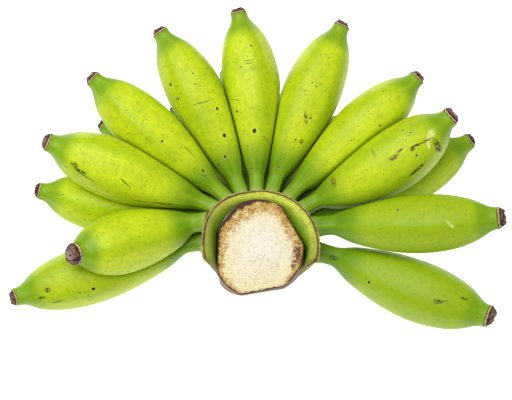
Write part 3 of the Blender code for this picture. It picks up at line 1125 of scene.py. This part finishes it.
@dataclass(frozen=True)
class CutFaceFinish:
    """The knife-cut stalk: cream pith full of fibre bundles, drying golden and then brown at its edge.

    The open cells scatter light, so it shows no gloss. Real bundles are half a millimetre wide, and
    are drawn a little coarser so that they show.
    """

    heart: str = "#F6EFE3"
    pith: str = "#F0E4B0"
    straw: str = "#E0C47E"
    golden: str = "#D0A552"
    brown: str = "#A47A3C"
    char: str = "#47281A"
    bundle: str = "#BFA670"
    old_bundle: str = "#6A4820"
    patch: str = "#74401C"
    roughness: float = 0.75
    cloud_mm: float = 3.8
    grit_mm: float = 0.77
    bundle_mm: float = 1.3
    blur: float = 0.55
    bundle_strength: float = 0.75
    grit_strength: float = 0.75
    relief_mm: float = 0.5
    relief_strength: float = 0.6

    def build(self) -> bpy.types.Material:
        """Makes the material, which follows how far each place on the face has dried.

        Returns:
            The material.
        """
        material, add = new_material("dry_cut_pith")
        # Gold runs from 0 where the pith is fresh to 1 at the edge, and grit and clouds blur it
        place = add("TexCoord", out="Object")
        gold = add("Attribute", attribute_name="gold", out="Fac")
        grit = add("TexNoise", place, per_metre(self.grit_mm), 3.0, 0.7)
        cloud = add("TexNoise", place, per_metre(self.cloud_mm), 4.0, 0.6)
        both = add("Math", cloud, grit, operation="ADD")
        both = add("MapRange", both, 0.6, 1.4, -self.blur, self.blur)
        reach = add("MapRange", gold, 0.0, 0.35, 0.12, 1.5)
        aged = add("Math", both, reach, gold, operation="MULTIPLY_ADD")
        outward = add("Attribute", attribute_name="outward", out="Fac")
        cream = add("Mix", outward, self.heart, self.pith, data_type="RGBA")
        dried = add("ValToRGB", aged, stops=((0.15, self.straw), (0.65, self.golden), (1.0, self.brown)))
        dryness = add("MapRange", aged, 0.10, 0.55)
        colour = add("Mix", dryness, cream, dried, data_type="RGBA")
        dots = add("TexVoronoi", place, per_metre(self.bundle_mm))
        dots = add("MapRange", dots, 0.16, 0.34, self.bundle_strength, 0.0)
        bundle = add("Mix", dryness, self.bundle, self.old_bundle, data_type="RGBA")
        colour = add("Mix", dots, colour, bundle, data_type="RGBA")
        speck = add("MapRange", grit, 0.55, 0.63, 0.0, self.grit_strength)
        shown = add("MapRange", aged, 0.05, 0.70, 0.18, 1.0)
        speck = add("Math", speck, shown, operation="MULTIPLY")
        colour = add("Mix", speck, colour, self.old_bundle, data_type="RGBA")
        for name, shade, low, high in (("patch", self.patch, 0.42, 0.70), ("char", self.char, 0.36, 0.62)):
            amount = add("Attribute", attribute_name=name, out="Fac")
            worn = add("MapRange", add("Math", both, 1.3, amount, operation="MULTIPLY_ADD"), low, high)
            colour = add("Mix", worn, colour, shade, data_type="RGBA")
        relief = add("Math", both, dots, operation="SUBTRACT")
        finish_material(material, colour, relief, self.relief_mm * MM, self.relief_strength, self.roughness)
        return material


@dataclass(frozen=True)
class ScarFinish:
    """Torn skin that has dried to cork: mottled, and dull because it scatters light."""

    name: str
    light: str
    dark: str
    roughness: float = 0.8
    grain_mm: float = 2.4
    relief_mm: float = 0.4
    relief_strength: float = 0.6

    def build(self) -> bpy.types.Material:
        """Makes the material.

        Returns:
            The material.
        """
        material, add = new_material(self.name)
        grain = add("TexNoise", add("TexCoord", out="Object"), per_metre(self.grain_mm), 4.0)
        colour = add("ValToRGB", grain, stops=((0.35, self.dark), (0.62, self.light)))
        finish_material(material, colour, grain, self.relief_mm * MM, self.relief_strength, self.roughness)
        return material


@dataclass(frozen=True)
class FlowerForm:
    """The dried flower end that every finger shares, in units of its own radius.

    It is drawn out of a circle sunk in the peel: each step's rise comes with how much its ring is
    resized. Edge and top are how uneven each copy is, and lean is how far it tips over.
    """

    around: int = 24
    foot_radius: float = 0.90
    foot_height: float = -0.30
    dome: Rows = ((0.24, 1.15), (0.07, 1.08), (0.09, 0.98), (0.15, 0.96), (0.06, 0.91), (0.15, 0.92),
                   (0.16, 0.89), (0.11, 0.86), (0.05, 0.82))
    hollow: Rows = ((-0.06, 0.82), (-0.10, 0.74), (-0.02, 0.58), (0.07, 0.55), (0.05, 0.7))
    smoothing: int = 2
    height: float = 0.86
    width: float = 1.02
    uneven_from: float = 0.3
    edge: float = 0.09
    top: float = 0.17
    top_stretch: float = 0.3
    lean: float = 0.14
    pattern_step: float = 3.7


@dataclass
class FingerMaker:
    """Models one straight finger and one flower end, and makes every finger of the hand from them."""

    crown: CrownForm
    form: FingerForm = FingerForm()
    flower: FlowerForm = FlowerForm()
    press: Press = Press()

    def __post_init__(self) -> None:
        """Works out every finger's line, and models the two pieces that are copied."""
        form = self.form
        self.spines = {plan.node: Spine(plan, form, self.crown) for plan in FINGERS}
        self.model_plan = FingerPlan("model", 0.0, 0.0, form.model_length, girth=form.model_width)
        self.finger_model = self.model_finger()
        self.end_model = self.model_flower_end()
        self.end_finish = FlowerEndFinish().build()

    def model_finger(self) -> bpy.types.Object:
        """A straight finger standing on its root, drawn out of a circle station by station.

        Returns:
            The finger, without its flower end.
        """
        form = self.form
        first = -form.root_sink / form.model_length
        turn = np.linspace(0.0, math.pi, form.stations)
        body = form.neck_end + (form.peel_end - form.neck_end) * (1.0 - np.cos(turn)) / 2
        neck = [first, 0.0, form.neck_end / 3, form.neck_end * 2 / 3]
        shares = np.concatenate([neck, body[:-1], [form.peel_end - form.peel_hem, form.peel_end]])
        radii = form.peel_radius(self.model_plan, shares)
        bpy.ops.mesh.primitive_circle_add(vertices=form.around, radius=float(radii[0]), fill_type="NGON",
                                          location=(0.0, 0.0, float(shares[0]) * form.model_length))
        thing = take_active("finger_model")
        bpy.ops.object.transform_apply(location=True, rotation=False, scale=False)
        start_edit()
        for step, scale in zip(np.diff(shares), radii[1:] / radii[:-1]):
            draw_out(float(step) * form.model_length, float(scale))
        draw_out(0.0, form.peel_mouth)
        end_edit()
        add_smoothing(thing, form.smoothing)
        return thing

    def model_flower_end(self) -> bpy.types.Object:
        """A dried flower end one unit in radius: a lip, a shrunken dome and a hollow.

        Returns:
            The flower end, still even all round.
        """
        flower = self.flower
        bpy.ops.mesh.primitive_circle_add(vertices=flower.around, radius=flower.foot_radius,
                                          fill_type="NGON", location=(0.0, 0.0, flower.foot_height))
        thing = take_active("flower_end_model")
        bpy.ops.object.transform_apply(location=True, rotation=False, scale=False)
        start_edit()
        for distance, scale in flower.dome + flower.hollow:
            draw_out(distance, scale)
        end_edit()
        add_smoothing(thing, flower.smoothing)
        return thing

    def make(self, plan: FingerPlan, seed: int) -> list[str]:
        """Makes one finger's peel and flower end.

        Args:
            plan: the finger.
            seed: settles its unevenness.

        Returns:
            The names of its pieces.
        """
        own = self.spines[plan.node]
        others = [spine for node, spine in self.spines.items() if node != plan.node and own.near(spine)]
        limits = self.press.limits(own, others)
        return [self.make_peel(plan, own, limits, seed), self.make_flower_end(plan, own, seed)]

    def make_peel(self, plan: FingerPlan, own: Spine, limits: np.ndarray, seed: int) -> str:
        """Bends a copy of the straight finger along its line and presses it where neighbours touch it.

        Args:
            plan: the finger.
            own: its line.
            limits: how far it can reach before its neighbours.
            seed: settles its unevenness.

        Returns:
            The peel's name.
        """
        form = self.form
        peel = copy_piece(self.finger_model, plan.node + "_skin")
        points = points_of(peel)
        shares = points[:, 2] / form.model_length
        angles = np.arctan2(points[:, 1], points[:, 0])
        ratio = form.peel_radius(plan, shares) / form.peel_radius(self.model_plan, shares)
        uneven = 1.0 + form.unevenness * ripple(angles, shares, seed)
        radius = np.hypot(points[:, 0], points[:, 1]) * ratio * form.section(angles, plan) * uneven
        pressed = self.press.hold(radius, self.press.sample(limits, shares, angles))
        pressed = np.where(shares < 0.0, radius, np.maximum(pressed, 0.0))
        centres, left, above, _ = own.frames(shares)
        sideways, upwards = pressed * np.cos(angles), pressed * np.sin(angles)
        placed = centres + sideways[:, None] * left + upwards[:, None] * above
        placed[:, 2] = np.maximum(placed[:, 2], 0.0)
        place_points(peel, placed)
        straight = (radius * np.cos(angles), radius * np.sin(angles), shares * plan.length)
        keep_attributes(peel, peel_space=np.stack(straight, axis=-1), along=shares,
                        ridge=form.ridge(angles, plan))
        return finish_piece(peel, PeelFinish().build(plan, seed), plan.node)

    def make_flower_end(self, plan: FingerPlan, own: Spine, seed: int) -> str:
        """Sets a copy of the flower end on the finger's tip, leaning and shrunk in its own way.

        Args:
            plan: the finger.
            own: its line.
            seed: settles its unevenness.

        Returns:
            The flower end's name.
        """
        flower = self.flower
        draw = np.random.default_rng(seed + 100)
        end = copy_piece(self.end_model, plan.node + "_flower_end")
        points = points_of(end)
        angles = np.arctan2(points[:, 1], points[:, 0])
        dried = smooth_step(points[:, 2] / flower.uneven_from)
        ragged = flower.width + flower.edge * dried * ripple(angles * 2, points[:, 2], seed + 50, 8)
        lean = draw.uniform(-flower.lean, flower.lean, 2)
        x = points[:, 0] * ragged + lean[0] * points[:, 2]
        y = points[:, 1] * ragged + lean[1] * points[:, 2]
        swell = ripple(angles * 2, points[:, 2] * flower.top_stretch, seed + 70, 6)
        z = points[:, 2] * flower.height * (1.0 + flower.top * dried * swell)
        keep_attributes(end, tip_space=np.stack([x, y, z], axis=-1),
                        tip_shift=np.full(len(points), flower.pattern_step * seed))
        size = plan.tip_width / 2
        centres, left, above, ahead = own.frames(np.array([self.form.peel_end]))
        placed = centres + size * (x[:, None] * left + y[:, None] * above + z[:, None] * ahead)
        place_points(end, placed)
        return finish_piece(end, self.end_finish, plan.node)

    def clear_models(self) -> None:
        """Removes the two modelled pieces once every copy is made."""
        for model in (self.finger_model, self.end_model):
            bpy.data.objects.remove(model, do_unlink=True)


@dataclass(frozen=True)
class CrownLevel:
    """One ring of the cushion: its height, how far it stands from the wall or the stalk, and its tone."""

    height: float
    on_wall: bool
    offset: float
    tone: float


@dataclass(frozen=True)
class Cord:
    """A cord of scar: its radius, how far inside the wall its middle runs, and how high.

    start and sweep are the azimuths that it covers, in degrees. Both ends thin over end_taper of its
    way, and run out below the cut face's edge, on the crown's bare front.
    """

    radius: float
    inset: float
    height: float
    start: float = -29.0
    sweep: float = 232.0
    steps: int = 120
    around: int = 10
    end_taper: float = 0.06
    end_radius: float = 0.15
    unevenness: float = 0.45
    wander: float = 0.25 * MM
    bare_drop: float = 6.0 * MM


# The rings of the cushion, from its foot over the rim, and down into the groove round the stalk
CUSHION_LEVELS = (
    CrownLevel(7.0 * MM, True, 0.0, 0.10),
    CrownLevel(13.0 * MM, True, 0.2 * MM, 0.12),
    CrownLevel(20.0 * MM, True, 0.0, 0.15),
    CrownLevel(27.0 * MM, True, 0.2 * MM, 0.18),
    CrownLevel(34.0 * MM, True, 0.0, 0.20),
    CrownLevel(40.0 * MM, True, 0.0, 0.24),
    CrownLevel(42.5 * MM, True, -0.1 * MM, 0.28),
    CrownLevel(44.0 * MM, True, -1.0 * MM, 0.34),
    CrownLevel(44.8 * MM, True, -2.6 * MM, 0.40),
    CrownLevel(44.5 * MM, True, -4.8 * MM, 0.46),
    CrownLevel(43.0 * MM, True, -6.8 * MM, 0.52),
    CrownLevel(39.5 * MM, False, 2.5 * MM, 0.62),
    CrownLevel(36.0 * MM, False, 1.4 * MM, 0.72),
    CrownLevel(33.0 * MM, False, 0.8 * MM, 0.80),
    CrownLevel(34.0 * MM, False, 0.2 * MM, 0.84),
)

# How far each ring over the cushion stands inside the cut face's edge and below it, and its tone
EDGE_LEVELS = (
    (0.0, 1.8 * MM, 0.9),
    (0.0, 0.8 * MM, 0.95),
    (0.1 * MM, 0.1 * MM, 1.0),
    (1.4 * MM, 0.5 * MM, 1.0),
)


@dataclass(frozen=True)
class CrownMaker:
    """Makes the crown: its skin, its cut face, and the scar round the cushion.

    Azimuths are in degrees. The cut face has dried furthest where gold and char reach inwards: each
    of their sides is how far, in shares of the face's radius, and towards which azimuth. A pale
    side is how strong the light line under the cut edge is, its azimuth and how wide it spreads.
    """

    form: CrownForm
    around: int = 120
    face_rings: int = 22
    face_middle: float = 1.5
    base_bevel: float = 1.5 * MM
    base_bevel_height: float = 0.3 * MM
    bare_top_drop: float = 2.4 * MM
    edge_wander: float = 0.55 * MM
    edge_inset: float = 0.3 * MM
    brightest_azimuth: float = 62.0
    pale_sides: Rows = ((1.0, -2.0, 24.0), (0.8, 150.0, 14.0))
    face_swell: float = 0.25 * MM
    face_rise: float = 0.3 * MM
    face_rim: float = 0.95
    face_rim_drop: float = 0.6 * MM
    face_thickness: float = 1.5 * MM
    gold_from: float = 0.955
    gold_sides: Rows = ((0.46, 112.0), (0.34, 15.0), (0.22, 180.0))
    char_least: float = 0.010
    char_lead: float = 1.5
    char_sides: Rows = ((0.11, 128.0, 6), (0.02, 95.0, 2))
    patch_azimuth: float = -14.0
    patch_spread: float = 21.0
    patch_out: float = 0.87
    patch_depth: float = 0.13

    def ragged_edge(self, azimuths: np.ndarray) -> np.ndarray:
        """The radius of the cut face's uneven edge."""
        wander = self.edge_wander * ripple(np.radians(azimuths), np.zeros(azimuths.shape), seed=17, terms=13)
        return self.form.edge(azimuths) + wander - self.edge_inset

    def ring(self, azimuths: np.ndarray, radius: np.ndarray, height: np.ndarray) -> np.ndarray:
        """One level of the crown, trimmed at its front.

        Args:
            azimuths: directions in plan, in degrees.
            radius: the level's radius in each direction.
            height: its height in each direction.

        Returns:
            The level's points.
        """
        radians = np.radians(azimuths)
        radius = np.minimum(radius, self.form.front_limit(azimuths, height))
        return np.stack([radius * np.cos(radians), radius * np.sin(radians), height], axis=-1)

    def make_skin(self) -> str:
        """Draws the crown's skin up from its underside, level by level, to close it under the cut face.

        Returns:
            The skin's name.
        """
        form = self.form
        azimuths = np.arange(self.around) * 360.0 / self.around
        stalk = form.stalk(azimuths)
        edge = self.ragged_edge(azimuths)
        top = form.cut(edge, azimuths)
        base = np.minimum(form.base_radius, stalk)
        rings = [self.ring(azimuths, base - self.base_bevel, np.zeros(self.around)),
                 self.ring(azimuths, base, np.full(self.around, self.base_bevel_height))]
        shares = [np.zeros(self.around)] * 2
        tones = [0.0, 0.0]
        for count, level in enumerate(CUSHION_LEVELS, start=1):
            share = form.cushion(azimuths, level.height)
            reach = level.offset + (form.wall(azimuths) if level.on_wall else stalk)
            bare_height = (top - self.bare_top_drop) * count / (len(CUSHION_LEVELS) + 1)
            rings.append(self.ring(azimuths, share * reach + (1.0 - share) * stalk,
                                   share * level.height + (1.0 - share) * bare_height))
            shares.append(share)
            tones.append(level.tone)
        for inset, drop, tone in EDGE_LEVELS:
            rings.append(self.ring(azimuths, edge - inset, top - drop))
            shares.append(form.cushion(azimuths, form.wall_top))
            tones.append(tone)
        bpy.ops.mesh.primitive_circle_add(vertices=self.around, radius=form.base_radius, fill_type="NGON")
        thing = take_active("crown_skin")
        start_edit()
        # Every ring is drawn out by a millimetre, so that its height tells which one it is
        for _ in rings[1:]:
            draw_out(MM, 1.0)
        end_edit()
        points = points_of(thing)
        order = np.round(points[:, 2] / MM).astype(int)
        turned = np.degrees(np.arctan2(points[:, 1], points[:, 0]))
        column = np.round(turned * self.around / 360.0).astype(int) % self.around
        place_points(thing, np.array(rings)[order, column])
        pale = sum(most * np.exp(-(away_from(azimuths, middle) / spread) ** 2)
                   for most, middle, spread in self.pale_sides)
        # Painted light: 1 on the azimuth where the rim is painted brightest, falling to 0 a quarter turn
        # away
        lit = form.facing(azimuths, self.brightest_azimuth)
        keep_attributes(thing, tone=np.array(tones)[order], cushion=np.array(shares)[order, column],
                        lit=lit[column], pale_edge=pale[column])
        add_smoothing(thing, 1)
        return finish_piece(thing, CushionFinish().build(), "crown")

    def make_cut_face(self) -> str:
        """The pale cut face: a disc inset ring by ring, laid on the slanting cut and given a thickness.

        Returns:
            The cut face's name.
        """
        form = self.form
        bpy.ops.mesh.primitive_circle_add(vertices=self.around, radius=1.0, fill_type="NGON")
        thing = take_active("cut_face")
        start_edit()
        for _ in range(self.face_rings):
            bpy.ops.mesh.inset(thickness=1.0 / (self.face_rings + self.face_middle))
        bpy.ops.mesh.poke()
        end_edit()
        points = points_of(thing)
        out = np.hypot(points[:, 0], points[:, 1])
        azimuths = np.degrees(np.arctan2(points[:, 1], points[:, 0]))
        radians = np.radians(azimuths)
        radius = out * self.ragged_edge(azimuths)
        swell = self.face_swell * ripple(radians * 2, out * 3, seed=11, terms=7)
        height = form.cut(radius, azimuths) + swell + self.face_rise
        height -= self.face_rim_drop * smooth_step((out - self.face_rim) / (1.0 - self.face_rim))
        placed = np.stack([radius * np.cos(radians), radius * np.sin(radians), height], axis=-1)
        place_points(thing, placed)
        golden = sum(reach * form.facing(azimuths, side) ** 2 for reach, side in self.gold_sides)
        start = self.gold_from - golden
        charred = sum(reach * form.facing(azimuths, side) ** power for reach, side, power in self.char_sides)
        width = self.char_least + charred
        beside = (away_from(azimuths, self.patch_azimuth) / self.patch_spread) ** 2
        beyond = ((out - self.patch_out) / self.patch_depth) ** 2
        keep_attributes(thing, outward=out, gold=np.clip((out - start) / (1.0 - start), 0.0, 1.0),
                        char=smooth_step((out - 1.0 + self.char_lead * width) / width),
                        patch=np.exp(-beside - beyond))
        bpy.context.view_layer.objects.active = thing
        wall = thing.modifiers.new("thickness", "SOLIDIFY")
        wall.thickness = self.face_thickness
        wall.offset = -1.0
        bpy.ops.object.modifier_apply(modifier=wall.name)
        return finish_piece(thing, CutFaceFinish().build(), "crown")

    def spin_side(self, points: np.ndarray) -> float:
        """Which way round Blender spun a cord: 1 anticlockwise in plan, -1 clockwise."""
        return float(np.sign(np.sum(np.sign(points[:, 1]))))

    def make_scar(self, name: str, cord: Cord, finish: ScarFinish, seed: int) -> str:
        """A cord of corky scar spun along the top of the cushion's wall, down to the bare front.

        Args:
            name: the piece's name.
            cord: where it runs and how thick it is.
            finish: its finish.
            seed: settles its unevenness.

        Returns:
            The piece's name.
        """
        form = self.form
        bpy.ops.mesh.primitive_circle_add(vertices=cord.around, radius=cord.radius, fill_type="NOTHING",
                                          location=(form.wall_radius, 0.0, 0.0),
                                          rotation=(math.pi / 2, 0.0, 0.0))
        thing = take_active(name)
        bpy.ops.object.transform_apply(location=True, rotation=True, scale=False)
        start_edit()
        bpy.ops.mesh.spin(steps=cord.steps, angle=math.radians(cord.sweep), center=(0.0, 0.0, 0.0),
                          axis=(0.0, 0.0, 1.0))
        bpy.ops.mesh.select_all(action="DESELECT")
        bpy.ops.mesh.select_mode(type="EDGE")
        bpy.ops.mesh.select_non_manifold()
        bpy.ops.mesh.edge_face_add()
        end_edit()
        # The first ring stands at zero degrees, where rounding may put a point just below it
        points = points_of(thing)
        turned = np.degrees(np.arctan2(points[:, 1], points[:, 0])) * self.spin_side(points)
        way = ((turned + 10.0) % 360.0 - 10.0) / cord.sweep
        azimuths = cord.start + cord.sweep * way
        radians = np.radians(azimuths)
        taper = np.clip(np.minimum(way, 1.0 - way) / cord.end_taper, cord.end_radius, 1.0)
        uneven = 1.0 + cord.unevenness * ripple(radians * 6, way, seed, terms=8)
        out = (np.hypot(points[:, 0], points[:, 1]) - form.wall_radius) * taper * uneven
        up = points[:, 2] * taper * uneven
        share = form.cushion(azimuths, form.wall_top)
        wander = cord.wander * ripple(radians * 4, way, seed + 1, terms=6)
        radius = share * (form.wall(azimuths) - cord.inset) + (1.0 - share) * form.stalk(azimuths)
        radius += out + wander
        bare_height = form.cut(form.edge(azimuths), azimuths) - cord.bare_drop
        level = share * cord.height + (1.0 - share) * bare_height + up
        placed = np.stack([radius * np.cos(radians), radius * np.sin(radians), level], axis=-1)
        place_points(thing, placed)
        return finish_piece(thing, finish.build(), "crown")

    def make(self) -> list[str]:
        """Makes every piece of the crown.

        Returns:
            The names of its pieces.
        """
        line = Cord(radius=0.5 * MM, inset=0.9 * MM, height=43.8 * MM)
        lip = Cord(radius=0.85 * MM, inset=0.0, height=42.5 * MM)
        brown = ScarFinish("dried_brown_cork", light="#6E4A22", dark="#3C2412")
        pale = ScarFinish("dried_pale_cork", light="#B9A96C", dark="#8A7A40")
        return [self.make_skin(), self.make_cut_face(), self.make_scar("scar_line", line, brown, seed=21),
                self.make_scar("scar_lip", lip, pale, seed=31)]


@dataclass(frozen=True)
class Studio:
    """A pale light table under a broad soft light, and the camera at the photograph's angle."""

    floor_size: float = 3.0
    floor_glow: float = 0.85
    world_strength: float = 0.42
    key_size: float = 0.9
    key_place: Triple = (-0.25, 0.15, 1.1)
    key_aim: Triple = (0.0, 0.05, 0.03)
    key_power: float = 11.0
    floor_tone: str = "#F2F2F0"
    floor_roughness: float = 0.9
    sensor_mm: float = 36.0
    nearest: float = 0.05

    def make_floor(self) -> None:
        """A white table top, lit from below as well, so that hardly any shadow shows."""
        bpy.ops.mesh.primitive_plane_add(size=self.floor_size, location=(0.0, 0.0, 0.0))
        floor = take_active("light_table")
        material, _ = new_material("white_table")
        shader = material.node_tree.nodes["Principled BSDF"]
        shader.inputs["Base Color"].default_value = srgb(self.floor_tone)
        shader.inputs["Roughness"].default_value = self.floor_roughness
        shader.inputs["Emission Color"].default_value = srgb("#FFFFFF")
        shader.inputs["Emission Strength"].default_value = self.floor_glow
        floor.data.materials.append(material)

    def make_lights(self) -> None:
        """A white surround and one large soft box overhead, a little to the left."""
        world = bpy.data.worlds.new("surround")
        bpy.context.scene.world = world
        world.use_nodes = True
        background = world.node_tree.nodes["Background"]
        background.inputs["Color"].default_value = srgb("#FFFFFF")
        background.inputs["Strength"].default_value = self.world_strength
        lamp = bpy.data.lights.new("soft_box", "AREA")
        lamp.shape = "DISK"
        lamp.size = self.key_size
        lamp.energy = self.key_power
        box = bpy.data.objects.new("soft_box", lamp)
        box.location = self.key_place
        ahead = Vector(self.key_aim) - Vector(self.key_place)
        box.rotation_euler = ahead.to_track_quat("-Z", "Y").to_euler()
        bpy.context.scene.collection.objects.link(box)

    def make_camera(self) -> None:
        """The camera, looking steeply down on the hand along +Y."""
        lens = bpy.data.cameras.new("camera")
        lens.lens = CAMERA_LENS_MM
        lens.sensor_width = self.sensor_mm
        lens.clip_start = self.nearest
        camera = bpy.data.objects.new("camera", lens)
        tilt = math.radians(CAMERA_ELEVATION)
        back = Vector((0.0, -math.cos(tilt), math.sin(tilt)))
        camera.location = Vector(CAMERA_TARGET) + back * CAMERA_DISTANCE
        camera.rotation_euler = (math.radians(90.0 - CAMERA_ELEVATION), 0.0, 0.0)
        bpy.context.scene.collection.objects.link(camera)
        bpy.context.scene.camera = camera
        bpy.context.scene.view_settings.view_transform = "Standard"


def main() -> None:
    """Dresses the hand: the crown first, then every finger, then the studio."""
    logging.basicConfig(level=logging.INFO, format="%(message)s")
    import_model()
    bpy.ops.object.select_all(action="DESELECT")
    crown_form = CrownForm()
    pieces = CrownMaker(crown_form).make()
    LOG.info("made %s", ", ".join(pieces))
    maker = FingerMaker(crown_form)
    for seed, plan in enumerate(FINGERS, start=1):
        pieces = maker.make(plan, seed)
        LOG.info("made %s", ", ".join(pieces))
    maker.clear_models()
    studio = Studio()
    studio.make_floor()
    studio.make_lights()
    studio.make_camera()


if __name__ == "__main__":
    main()
